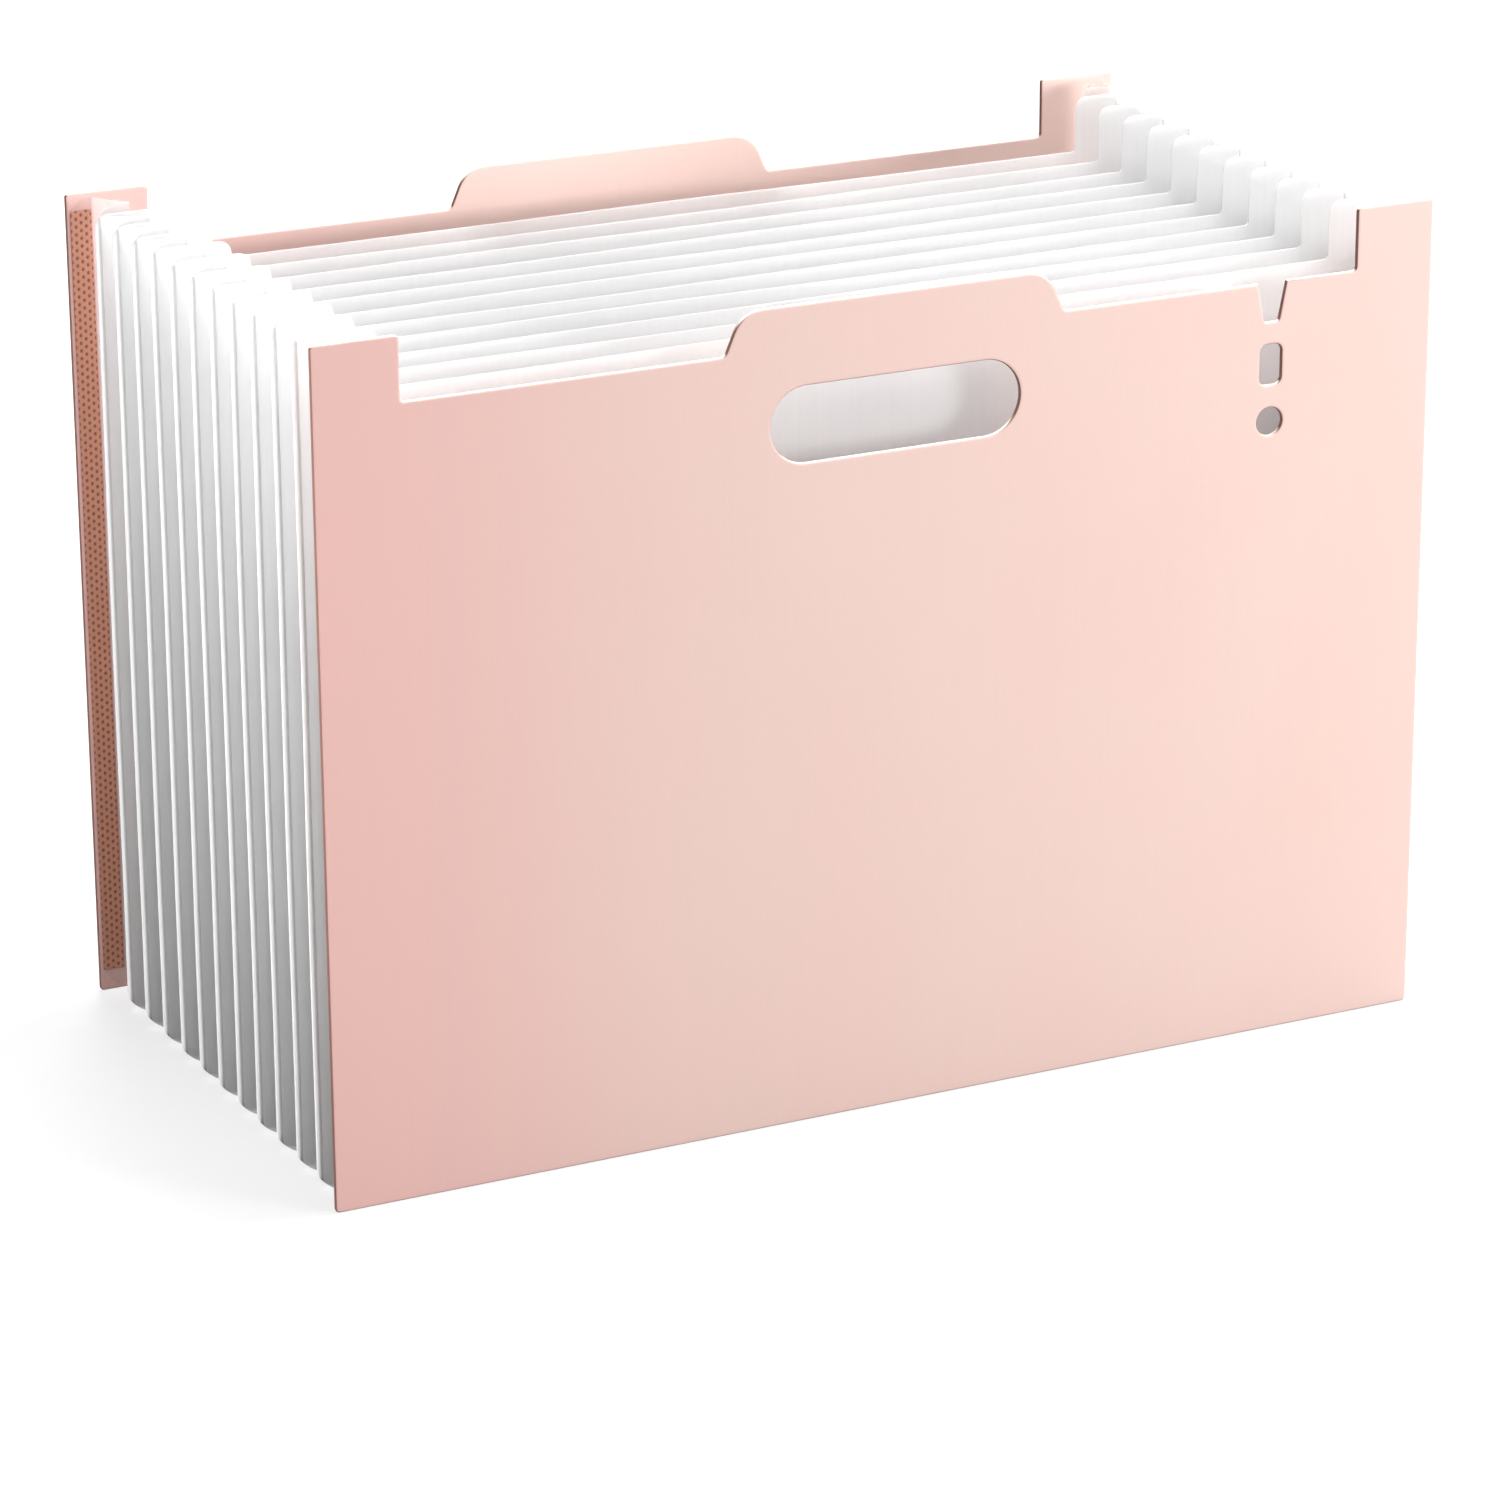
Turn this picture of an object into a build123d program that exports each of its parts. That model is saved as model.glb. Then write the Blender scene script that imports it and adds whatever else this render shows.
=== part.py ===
from build123d import *
import os

# Desktop accordion file: two stiff covers, film dividers between them, and a folded
# film round both sides and the floor of every pocket.
# Millimetres, +Z up, front towards -Y, origin at the bottom centre of the folder.

# Covers, cut from one stiff sheet each
cover_width = 330.0
cover_height = 235.0
cover_thickness = 1.5
cover_corner_radius = 1.2
ear_width = 24.0
ear_height = 17.5

# Index tab in the middle of each cover's rim
tab_base_width = 100.0
tab_flank_run = 5.0
tab_height = 11.5
tab_shoulder_radius = 9.0
tab_root_radius = 2.0

# Hand slot under the tab
hand_slot_length = 74.0
hand_slot_height = 21.0
hand_slot_drop = 21.0

# Pen holder cut in the front cover: a notch in the rim, a slot and a round hole in one column
pen_column_offset = 114.5
pen_notch_mouth = 9.0
pen_notch_floor = 4.5
pen_notch_depth = 11.0
pen_notch_radius = 0.8
pen_slot_width = 6.8
pen_slot_height = 11.5
pen_slot_radius = 2.2
pen_slot_drop = 23.0
pen_hole_diameter = 8.0
pen_hole_drop = 39.0

# Pockets, counted from the front; the rear one stands open wider than the rest
pocket_count = 12
pocket_pitch = 14.1
rear_pocket_pitch = 21.0

# Dividers
divider_thickness = 0.4
divider_side_inset = 1.0
divider_lift = 1.5
divider_top_drop = 1.5
divider_foot_radius = 5.0
divider_crown_radius = 3.5

# Folded film of the sides and floors
film_thickness = 0.25
fold_depth = 13.5
fold_width = 0.8
divider_weld_width = 1.5
cover_weld_width = 6.5
divider_panel_bow_share = 0.125
cover_panel_bow_share = 0.05
floor_end_clearance = 0.5

# How far a cutting shape runs past what it cuts
overrun = 2.0

# Levels and half sizes that several pieces share
rim_level = cover_height - ear_height
ear_inner_edge = cover_width / 2 - ear_width
film_half_width = cover_width / 2 - divider_side_inset
film_top = cover_height - divider_top_drop
fold_reach = fold_depth + film_thickness / 2
floor_half_length = film_half_width - fold_reach - floor_end_clearance


def nearest_corner(sketch, point):
    """Return the corner of a flat sheet that lies nearest to a point."""
    return min(sketch.vertices(), key=lambda corner: (corner.center() - Vector(*point)).length)


def round_corners(sketch, points, radius):
    """Round the corners of a flat sheet that lie at the given points."""
    for point in points:
        sketch = fillet(nearest_corner(sketch, point), radius=radius)
    return sketch


def both_sides(points):
    """Return the points with their mirror images across the middle."""
    return points + [(-across, level) for across, level in points]


def ring_from_right_half(points):
    """Close an outline from its right half, listed upwards from the bottom edge."""
    left_half = [(-across, level) for across, level in reversed(points)]
    return make_face(Polyline(*points, *left_half, close=True))


def stand_up(sketch, thickness, middle):
    """Turn a flat sheet upright, with its mid-plane at the given depth."""
    back_plane = Plane.XZ.offset(-middle - thickness / 2)
    return extrude(back_plane * sketch, amount=thickness)


def cover_sheet():
    """Outline of a cover with its ears, index tab and hand slot."""
    half_width = cover_width / 2
    tab_half_base = tab_base_width / 2
    tab_half_top = tab_half_base - tab_flank_run
    outer_corners = [(half_width, 0), (half_width, cover_height)]
    ear_corners = [(ear_inner_edge, cover_height), (ear_inner_edge, rim_level)]
    tab_root = (tab_half_base, rim_level)
    tab_shoulder = (tab_half_top, rim_level + tab_height)
    sheet = ring_from_right_half(outer_corners + ear_corners + [tab_root, tab_shoulder])
    sheet = round_corners(sheet, both_sides(outer_corners + ear_corners), cover_corner_radius)
    sheet = round_corners(sheet, both_sides([tab_root]), tab_root_radius)
    sheet = round_corners(sheet, both_sides([tab_shoulder]), tab_shoulder_radius)
    return sheet - Pos(0, rim_level - hand_slot_drop) * SlotOverall(hand_slot_length, hand_slot_height)


def pen_cutouts():
    """Notch, slot and hole that hold a pen, drawn about the middle of the rim."""
    flare = (pen_notch_mouth - pen_notch_floor) / 2 / pen_notch_depth
    half_mouth = pen_notch_mouth / 2 + flare * overrun
    half_floor = pen_notch_floor / 2
    notch = make_face(Polyline(
        (-half_mouth, overrun),
        (-half_floor, -pen_notch_depth),
        (half_floor, -pen_notch_depth),
        (half_mouth, overrun),
        close=True,
    ))
    notch = round_corners(notch, both_sides([(half_floor, -pen_notch_depth)]), pen_notch_radius)
    slot = RectangleRounded(pen_slot_width, pen_slot_height, pen_slot_radius)
    hole = Circle(pen_hole_diameter / 2)
    return [notch, Pos(0, -pen_slot_drop) * slot, Pos(0, -pen_hole_drop) * hole]


def divider_sheet():
    """Outline of a divider, with ears like the covers' but no tab."""
    feet = [(film_half_width, divider_lift)]
    crowns = [(film_half_width, film_top), (ear_inner_edge, film_top)]
    rim_corners = [(ear_inner_edge, rim_level)]
    sheet = ring_from_right_half(feet + crowns + rim_corners)
    sheet = round_corners(sheet, both_sides(feet), divider_foot_radius)
    sheet = round_corners(sheet, both_sides(crowns), divider_crown_radius)
    return round_corners(sheet, both_sides(rim_corners), cover_corner_radius)


def film_frame(depth):
    """Block whose rounded corners trim the side films like the dividers that they join."""
    feet = [(film_half_width, divider_lift)]
    crowns = [(film_half_width, film_top)]
    sheet = ring_from_right_half(feet + crowns)
    sheet = round_corners(sheet, both_sides(feet), divider_foot_radius)
    sheet = round_corners(sheet, both_sides(crowns), divider_crown_radius)
    return stand_up(sheet, depth, 0)


def folded_section(gap, front_weld, front_bow_share, rear_weld, rear_bow_share):
    """Film across one pocket: X runs from the outer edge inwards, Y from front wall to rear wall.

    Each weld lies flat on its wall, each panel bows out from its weld and turns inwards,
    and a narrow flat fold joins the two panels.
    """
    skin = film_thickness / 2
    front_edge = Vector(-overrun, skin)
    front_crease = Vector(front_weld, skin)
    front_fold = Vector(fold_depth, (gap - fold_width) / 2)
    rear_fold = Vector(fold_depth, (gap + fold_width) / 2)
    rear_crease = Vector(rear_weld, gap - skin)
    rear_edge = Vector(-overrun, gap - skin)
    front_bow = (front_fold - front_crease).length * front_bow_share
    rear_bow = (rear_crease - rear_fold).length * rear_bow_share
    middle_line = Wire([
        Line(front_edge, front_crease).edge(),
        SagittaArc(front_crease, front_fold, front_bow).edge(),
        Line(front_fold, rear_fold).edge(),
        SagittaArc(rear_fold, rear_crease, rear_bow).edge(),
        Line(rear_crease, rear_edge).edge(),
    ])
    film = make_face(middle_line.offset_2d(skin, kind=Kind.INTERSECTION, side=Side.BOTH))
    inside = Rectangle(fold_reach + overrun, gap + overrun, align=(Align.MIN, Align.CENTER))
    return film & Pos(0, gap / 2) * inside


def wall_depths():
    """Mid-plane depth of every wall, front cover first and rear cover last."""
    pitches = [pocket_pitch] * (pocket_count - 1) + [rear_pocket_pitch]
    depths = [-sum(pitches) / 2]
    for pitch in pitches:
        depths.append(depths[-1] + pitch)
    return depths


def build_pieces():
    """Build every piece of the folder, keyed by its name."""
    depths = wall_depths()
    last = pocket_count
    pieces = {}

    plain_cover = cover_sheet()
    front_cover = plain_cover
    for cutout in pen_cutouts():
        front_cover = front_cover - Pos(pen_column_offset, rim_level) * cutout
    pieces["front_cover"] = stand_up(front_cover, cover_thickness, depths[0])
    pieces["rear_cover"] = stand_up(plain_cover, cover_thickness, depths[last])

    divider = divider_sheet()
    for wall in range(1, last):
        pieces[f"divider_{wall:02d}"] = stand_up(divider, divider_thickness, depths[wall])

    frame = film_frame(depths[last] - depths[0])
    for pocket in range(1, last + 1):
        touches_front = pocket == 1
        touches_rear = pocket == last
        front_wall = cover_thickness if touches_front else divider_thickness
        rear_wall = cover_thickness if touches_rear else divider_thickness
        front_face = depths[pocket - 1] + front_wall / 2
        rear_face = depths[pocket] - rear_wall / 2
        section = folded_section(
            rear_face - front_face,
            cover_weld_width if touches_front else divider_weld_width,
            cover_panel_bow_share if touches_front else divider_panel_bow_share,
            cover_weld_width if touches_rear else divider_weld_width,
            cover_panel_bow_share if touches_rear else divider_panel_bow_share,
        )
        side_place = Pos(-film_half_width, front_face, divider_lift)
        left_gusset = extrude(side_place * section, amount=film_top - divider_lift) & frame
        floor_start = (floor_half_length, front_face, divider_lift)
        floor_plane = Plane(origin=floor_start, x_dir=(0, 0, 1), z_dir=(-1, 0, 0))
        pieces[f"left_gusset_{pocket:02d}"] = left_gusset
        pieces[f"right_gusset_{pocket:02d}"] = mirror(left_gusset, about=Plane.YZ)
        pieces[f"pocket_floor_{pocket:02d}"] = extrude(floor_plane * section, amount=2 * floor_half_length)
    return pieces


os.makedirs("parts", exist_ok=True)
for name, piece in build_pieces().items():
    export_step(piece, f"parts/{name}.step")
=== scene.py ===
"""Dress the accordion file: covers with rounded cut edges, milky dividers, folded side and
floor films, knurled weld bands, and the studio that they stand in."""

import logging
import math
from dataclasses import dataclass, field
from enum import Enum
from typing import Callable

import bmesh
import bpy
from mathutils import Matrix, Vector


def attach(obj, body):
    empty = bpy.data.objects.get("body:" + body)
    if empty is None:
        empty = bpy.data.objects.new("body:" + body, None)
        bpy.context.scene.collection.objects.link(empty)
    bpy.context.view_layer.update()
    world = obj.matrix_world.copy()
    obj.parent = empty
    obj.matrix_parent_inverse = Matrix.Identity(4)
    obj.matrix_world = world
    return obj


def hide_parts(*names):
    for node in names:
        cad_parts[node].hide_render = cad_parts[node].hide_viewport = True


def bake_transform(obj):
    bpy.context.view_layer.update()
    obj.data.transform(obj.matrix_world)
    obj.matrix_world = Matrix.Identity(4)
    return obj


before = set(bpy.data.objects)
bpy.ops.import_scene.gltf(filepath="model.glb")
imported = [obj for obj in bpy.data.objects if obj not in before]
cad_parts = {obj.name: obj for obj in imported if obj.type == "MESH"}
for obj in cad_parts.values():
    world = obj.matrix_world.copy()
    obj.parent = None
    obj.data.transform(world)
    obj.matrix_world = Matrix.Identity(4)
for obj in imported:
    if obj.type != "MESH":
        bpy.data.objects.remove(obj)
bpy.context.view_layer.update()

LOG = logging.getLogger("accordion_file")
MM = 0.001
MIDDLE = 0.5

SHARP_TURN = math.radians(44)
PHASE_STEP = 2.39996

Triple = tuple[float, float, float]
Colour = Triple
Span = tuple[float, float]
FlatPoint = tuple[float, float]
Ring = list[FlatPoint]
Faces = list[list[int]]
DepthMap = Callable[[float, float], float]


def from_srgb(*shares: int) -> Colour:
    """Turn red, green and blue as a screen has them, 0 to 255, into linear light."""
    parts = (share / 255 for share in shares)
    return tuple(part / 12.92 if part <= 0.04045 else ((part + 0.055) / 1.055) ** 2.4 for part in parts)


def ease(low: float, high: float, value: float) -> float:
    """Rise smoothly from 0 at low to 1 at high."""
    part = min(1.0, max(0.0, (value - low) / (high - low)))
    return part * part * (3 - 2 * part)


# Shader building


class Signal:
    """A shader socket that takes part in sums; each operation adds a Math node."""

    def __init__(self, sheet: "NodeSheet", socket: bpy.types.NodeSocket) -> None:
        """Keep the sheet that the nodes go on, and the socket."""
        self.sheet = sheet
        self.socket = socket

    def _math(self, operation: str, *terms: "Signal | float") -> "Signal":
        """Add one Math node.

        Args:
            operation: Blender's name of the operation.
            terms: what goes into its sockets, in order.

        Returns:
            The node's result.
        """
        return self.sheet.node("ShaderNodeMath", {"operation": operation}, dict(enumerate(terms)))

    def __add__(self, other: "Signal | float") -> "Signal":
        """Add."""
        return self._math("ADD", self, other)

    def __radd__(self, other: float) -> "Signal":
        """Add to a number."""
        return self._math("ADD", other, self)

    def __sub__(self, other: "Signal | float") -> "Signal":
        """Subtract."""
        return self._math("SUBTRACT", self, other)

    def __rsub__(self, other: float) -> "Signal":
        """Subtract from a number."""
        return self._math("SUBTRACT", other, self)

    def __mul__(self, other: "Signal | float") -> "Signal":
        """Multiply."""
        return self._math("MULTIPLY", self, other)

    def __rmul__(self, other: float) -> "Signal":
        """Multiply a number."""
        return self._math("MULTIPLY", other, self)

    def __abs__(self) -> "Signal":
        """Drop the sign."""
        return self._math("ABSOLUTE", self)

    def cosine(self) -> "Signal":
        """Take the cosine of an angle in radians."""
        return self._math("COSINE", self)

    def highest(self, other: "Signal | float") -> "Signal":
        """Take the larger of two values."""
        return self._math("MAXIMUM", self, other)

    def eased(self, low: float, high: float) -> "Signal":
        """Rise smoothly from 0 at low to 1 at high."""
        inputs = {"Value": self, "From Min": low, "From Max": high}
        return self.sheet.node("ShaderNodeMapRange", {"interpolation_type": "SMOOTHSTEP"}, inputs)


class NodeSheet:
    """The nodes of one material, world or floor."""

    def __init__(self, tree: bpy.types.NodeTree) -> None:
        """Empty the tree, so that every node on it comes from here."""
        self.tree = tree
        tree.nodes.clear()

    def node(
        self,
        kind: str,
        settings: dict[str, object] | None = None,
        inputs: dict[str | int, object] | None = None,
        output: str | int = 0,
    ) -> Signal:
        """Add any node.

        Args:
            kind: Blender's type name.
            settings: properties of the node, set before its sockets.
            inputs: values or signals, by socket name or number.
            output: the socket to hand on.

        Returns:
            The chosen output.
        """
        made = self.tree.nodes.new(kind)
        for name, value in (settings or {}).items():
            setattr(made, name, value)
        for key, value in (inputs or {}).items():
            if isinstance(value, Signal):
                self.tree.links.new(value.socket, made.inputs[key])
            else:
                made.inputs[key].default_value = value
        return Signal(self, made.outputs[output] if made.outputs else None)

    def mix(self, share: Signal | float, first: object, second: object) -> Signal:
        """Mix two colours by a share.

        Args:
            share: 0 gives the first colour, 1 the second.
            first: a linear colour or a signal.
            second: a linear colour or a signal.

        Returns:
            The mixed colour.
        """
        ends = [end if isinstance(end, Signal) else (*end, 1.0) for end in (first, second)]
        settings = {"data_type": "RGBA"}
        return self.node("ShaderNodeMix", settings, {0: share, 6: ends[0], 7: ends[1]}, 2)

    def scaled(self, colour: Signal, factor: Signal) -> Signal:
        """Lighten or darken a colour by a factor near 1."""
        inputs = {"Vector": colour, "Scale": factor}
        return self.node("ShaderNodeVectorMath", {"operation": "SCALE"}, inputs)

    def place(self) -> Signal:
        """Give the place on the piece, in metres."""
        return self.node("ShaderNodeTexCoord", output="Object")

    def axes(self, vector: Signal) -> tuple[Signal, ...]:
        """Split a vector into its three shares."""
        return tuple(self.node("ShaderNodeSeparateXYZ", None, {0: vector}, axis) for axis in range(3))

    def noise(self, place: Signal, stretch: Triple, detail: float = 2.0) -> Signal:
        """Add smooth noise, centred on zero.

        Args:
            place: where on the piece.
            stretch: how many grains fit in a metre along each axis.
            detail: how many finer layers it has.

        Returns:
            The noise, from about -0.5 to 0.5.
        """
        scaled = self.node("ShaderNodeVectorMath", {"operation": "MULTIPLY"}, {0: place, 1: stretch})
        inputs = {"Vector": scaled, "Scale": 1.0, "Detail": detail}
        return self.node("ShaderNodeTexNoise", None, inputs) - MIDDLE

    def seen_rays(self) -> Signal:
        """Pick the rays that show a surface: from the camera, off gloss and through glass.

        Returns:
            1 for such a ray, and 0 for scattered light, which milky film passes on too.
        """
        camera, glossy, through, scattered = (
            self.node("ShaderNodeLightPath", output=name)
            for name in ("Is Camera Ray", "Is Glossy Ray", "Is Transmission Ray", "Is Diffuse Ray")
        )
        return camera.highest(glossy).highest(through * (1 - scattered))

    def bump(self, height: Signal, depth: float) -> Signal:
        """Turn a height from 0 to 1 into a normal, with its depth in metres."""
        return self.node("ShaderNodeBump", None, {"Strength": 1.0, "Distance": depth, "Height": height})

    def finish(self, shader: Signal, target: str = "ShaderNodeOutputMaterial") -> None:
        """Join the shader to the tree's output."""
        self.node(target, None, {"Surface": shader})


def weighed(base: float, shares: tuple[float, ...], *signals: Signal) -> Signal:
    """Add signals to a value, each by its share.

    Args:
        base: the value without any signal.
        shares: how much of each signal is added.
        signals: what is added, in the order of the shares.

    Returns:
        The sum.
    """
    return sum((signal * share for share, signal in zip(shares, signals)), base)


def new_material(name: str) -> tuple[bpy.types.Material, NodeSheet]:
    """Make an empty node material.

    Args:
        name: the finish's name.

    Returns:
        The material and its sheet of nodes.
    """
    material = bpy.data.materials.new(name)
    material.use_nodes = True
    return material, NodeSheet(material.node_tree)


@dataclass(frozen=True)
class CoverSheetFinish:
    """Satin sheet with a fine sand grain. Its cut edges are paler where they face up, partly the cut's
    own whitening and partly a painted highlight, and dark brown on upright walls, a painted shade;
    towards its left edge the sheet is pinker, a painted shade.
    """

    name: str = "cover_sheet_satin"
    peach: Colour = from_srgb(250, 218, 208)
    rose: Colour = from_srgb(249, 213, 203)
    # Painted shade: the sheet turns pinker towards its left edge, where less light falls.
    left_shade_tint: Colour = from_srgb(252, 203, 195)
    left_shade_span: Span = (-165 * MM, -40 * MM)
    # Painted light on the cut edges: dark brown on upright walls (painted shade) and cream on edges
    # that face up (painted highlight).
    cut_wall_shade: Colour = from_srgb(150, 106, 92)
    cut_top_highlight: Colour = from_srgb(253, 238, 228)
    cut_span: Span = (0.70, 0.985)
    highlight_span: Span = (0.45, 0.75)
    cloud_grains: Triple = (16, 16, 12)
    drawn_grains: Triple = (950, 950, 26)
    sand_grains: Triple = (2300, 2300, 2300)
    fine_layers: float = 3.0
    cloud_contrast: float = 1.6
    cut_cover: float = 0.95
    tone_shares: Span = (0.02, 0.03)
    roughness: float = 0.56
    rough_shares: Triple = (0.18, 0.08, 0.12)
    relief: float = 0.03 * MM
    relief_shares: Span = (0.8, 0.25)

    def make(self) -> bpy.types.Material:
        """Build the material.

        Returns:
            The material for both covers.
        """
        material, sheet = new_material(self.name)
        place = sheet.place()
        cloud = sheet.noise(place, self.cloud_grains, self.fine_layers)
        drawn = sheet.noise(place, self.drawn_grains)
        sand = sheet.noise(place, self.sand_grains, self.fine_layers)
        _, facing, upward = sheet.axes(sheet.node("ShaderNodeTexCoord", output="Normal"))
        cut = 1 - abs(facing).eased(*self.cut_span)
        # Painted light: cut edges facing up take the cream highlight, upright walls the dark brown
        # shade.
        edge = sheet.mix(upward.eased(*self.highlight_span), self.cut_wall_shade, self.cut_top_highlight)
        patches = (cloud * self.cloud_contrast + MIDDLE).eased(0.0, 1.0)
        colour = sheet.mix(patches, self.rose, self.peach)
        # Painted shade: pinker towards the left edge.
        colour = sheet.mix(sheet.axes(place)[0].eased(*self.left_shade_span), self.left_shade_tint, colour)
        colour = sheet.mix(cut * self.cut_cover, colour, edge)
        shader = sheet.node("ShaderNodeBsdfPrincipled", None, {
            "Base Color": sheet.scaled(colour, weighed(1.0, self.tone_shares, drawn, sand)),
            "Roughness": weighed(self.roughness, self.rough_shares, sand, cloud, cut),
            "Normal": sheet.bump(weighed(MIDDLE, self.relief_shares, sand, drawn), self.relief),
        })
        sheet.finish(shader)
        return material


FUSED = "fused_to_cover"


class FilmRun(Enum):
    """Where a folded film runs in its pocket."""

    LEFT = "left_gusset"
    RIGHT = "right_gusset"
    FLOOR = "pocket_floor"


@dataclass(frozen=True)
class FilmMarks:
    """Where on a film its making shows, and where painted shade darkens it, each from 0 to 1."""

    welded: Signal
    folded: Signal | float
    painted_shade: Signal | float
    fused: Signal | float


@dataclass(frozen=True)
class MilkyFilmFinish:
    """Milky film that lets light through; its welded edges glow by emission, a painted glow, and it
    darkens lower down, a painted shade.
    """

    name: str
    film: Colour = from_srgb(244, 244, 244)
    crease: Colour = from_srgb(252, 252, 252)
    shade: Colour = from_srgb(228, 228, 229)
    glow: Colour = from_srgb(251, 251, 251)
    tone: float = 0.99
    tone_shares: Triple = (0.03, 0.02, 0.02)
    roughness: float = 0.36
    rough_shares: Triple = (0.12, 0.1, 0.12)
    # Share of the shaded translucent tint: mostly painted shade, with a little random haze.
    shade_and_haze: float = 0.1
    shade_and_haze_shares: Triple = (0.9, 0.2, 0.12)
    through: float = 0.70
    through_shares: Span = (0.06, -0.4)
    clear: float = 0.24
    clear_shares: Span = (0.04, 0.1)
    fused_clear: float = 0.82
    edge_light: float = 0.38
    cloud_layers: float = 3.0
    cloud_grains: Triple = (22, 22, 15)
    drawn_grains: Triple = (620, 620, 8)
    frost_grains: Triple = (3000, 3000, 3000)
    relief: float = 0.025 * MM
    relief_shares: Span = (0.6, 0.4)
    outer_edge: float = 164 * MM
    weld_span: Span = (0.15 * MM, 1.2 * MM)
    lit_levels: Span = (206 * MM, 216 * MM)
    dimming: float = 0.4

    def marks(self, sheet: NodeSheet, place: Signal) -> FilmMarks:
        """Find the welded edges of a plain sheet, and its painted shade, which darkens it below the
        rim.

        Args:
            sheet: the finish's nodes.
            place: where on the piece.

        Returns:
            The marks of a divider.
        """
        across, _, level = sheet.axes(place)
        inward = self.outer_edge - abs(across)
        return FilmMarks(
            welded=1 - inward.eased(*self.weld_span),
            folded=0.0,
            # Painted shade: the divider's film turns darker below the rim.
            painted_shade=(1 - level.eased(*self.lit_levels)) * self.dimming,
            fused=0.0,
        )

    def make(self) -> bpy.types.Material:
        """Build the material.

        Returns:
            The material of one kind of film.
        """
        material, sheet = new_material(self.name)
        place = sheet.place()
        marks = self.marks(sheet, place)
        white = marks.welded.highest(marks.folded)
        cloud = sheet.noise(place, self.cloud_grains, self.cloud_layers)
        drawn = sheet.noise(place, self.drawn_grains)
        frost = sheet.noise(place, self.frost_grains)
        tone = weighed(self.tone, self.tone_shares, cloud, drawn, frost)
        # Painted shade: the film's colour turns towards the shade colour.
        colour = sheet.mix(white, sheet.mix(marks.painted_shade, self.film, self.shade), self.crease)
        skin = sheet.node("ShaderNodeBsdfPrincipled", None, {
            "Base Color": sheet.scaled(colour, tone),
            "Roughness": weighed(self.roughness, self.rough_shares, drawn, frost, white),
            "Normal": sheet.bump(weighed(MIDDLE, self.relief_shares, drawn, frost), self.relief),
            # Painted glow: the welded edges give out light by emission, though they are no lamp.
            "Emission Color": sheet.mix(marks.welded * (1 - marks.fused), (0.0, 0.0, 0.0), self.crease),
            "Emission Strength": self.edge_light,
        })
        # Lit and shaded translucent copies of the film, mixed mostly by painted shade.
        bright, dim = (
            sheet.node("ShaderNodeBsdfTranslucent", None, {"Color": (*tint, 1.0)})
            for tint in (self.glow, self.shade)
        )
        shade_and_haze = weighed(self.shade_and_haze, self.shade_and_haze_shares, marks.painted_shade, cloud, drawn)
        body = sheet.node("ShaderNodeMixShader", None, {0: shade_and_haze, 1: bright, 2: dim})
        straight = sheet.node("ShaderNodeBsdfTransparent", None, {"Color": (1.0, 1.0, 1.0, 1.0)})
        milk = weighed(self.through, self.through_shares, drawn, white)
        milky = sheet.node("ShaderNodeMixShader", None, {0: milk, 1: skin, 2: body})
        clear = (1 - white) * weighed(self.clear, self.clear_shares, drawn, cloud)
        clear = clear.highest(marks.fused * self.fused_clear)
        sheet.finish(sheet.node("ShaderNodeMixShader", None, {0: clear, 1: milky, 2: straight}))
        return material


@dataclass(frozen=True)
class BellowsFilmFinish(MilkyFilmFinish):
    """Clearer milky film, white along its welds and its inner fold, fused to the covers, and darkened
    by painted shade deep in its folds and low down.
    """

    clear: float = 0.45
    run: FilmRun = FilmRun.LEFT
    lift: float = 1.5 * MM
    fold: float = 13.5 * MM
    fold_span: Span = (0.1 * MM, 0.7 * MM)
    fold_white: float = 0.5
    painted_shade_span: Span = (1.5 * MM, 11.475 * MM)
    lit_levels: Span = (130 * MM, 215 * MM)

    def marks(self, sheet: NodeSheet, place: Signal) -> FilmMarks:
        """Find the welds, the fold, and the painted shade, darker deeper in towards the fold and lower
        down.

        Args:
            sheet: the finish's nodes.
            place: where on the piece.

        Returns:
            The marks of a folded film.
        """
        across, _, level = sheet.axes(place)
        inward = level - self.lift if self.run is FilmRun.FLOOR else self.outer_edge - abs(across)
        fused = sheet.node("ShaderNodeAttribute", {"attribute_name": FUSED}, output="Fac")
        return FilmMarks(
            welded=(1 - inward.eased(*self.weld_span)) * (1 - fused),
            folded=(1 - abs(inward - self.fold).eased(*self.fold_span)) * self.fold_white,
            # Painted shade: darker deeper in towards the fold and lower down, fading out near the top.
            painted_shade=inward.eased(*self.painted_shade_span) * (1 - level.eased(*self.lit_levels)),
            fused=fused,
        )


@dataclass(frozen=True)
class Knurl:
    """The welding tool's pattern: rows of pits, each row set between the pits of the next."""

    pitch_across: float = 3.0 * MM
    pitch_up: float = 2.2 * MM
    middle: float = 160.95 * MM
    second_share: float = 0.5
    pit_levels: Span = (0.0, 1.15)

    def angles(self, across: Signal | float, level: Signal | float) -> tuple[Signal | float, ...]:
        """Turn a place into the pattern's two angles, across and up."""
        column = (abs(across) - self.middle) * (math.tau / self.pitch_across)
        return column, level * (math.tau / self.pitch_up)

    def pit(self, across: float, level: float) -> float:
        """Give the depth of the pattern at a place.

        Args:
            across: place across the folder.
            level: place above the floor.

        Returns:
            0 on the ridges, rising to 1 in a pit.
        """
        column, row = self.angles(across, level)
        wave = math.cos(column) * math.cos(row) + math.cos(2 * column) * self.second_share
        return ease(*self.pit_levels, wave)


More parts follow.
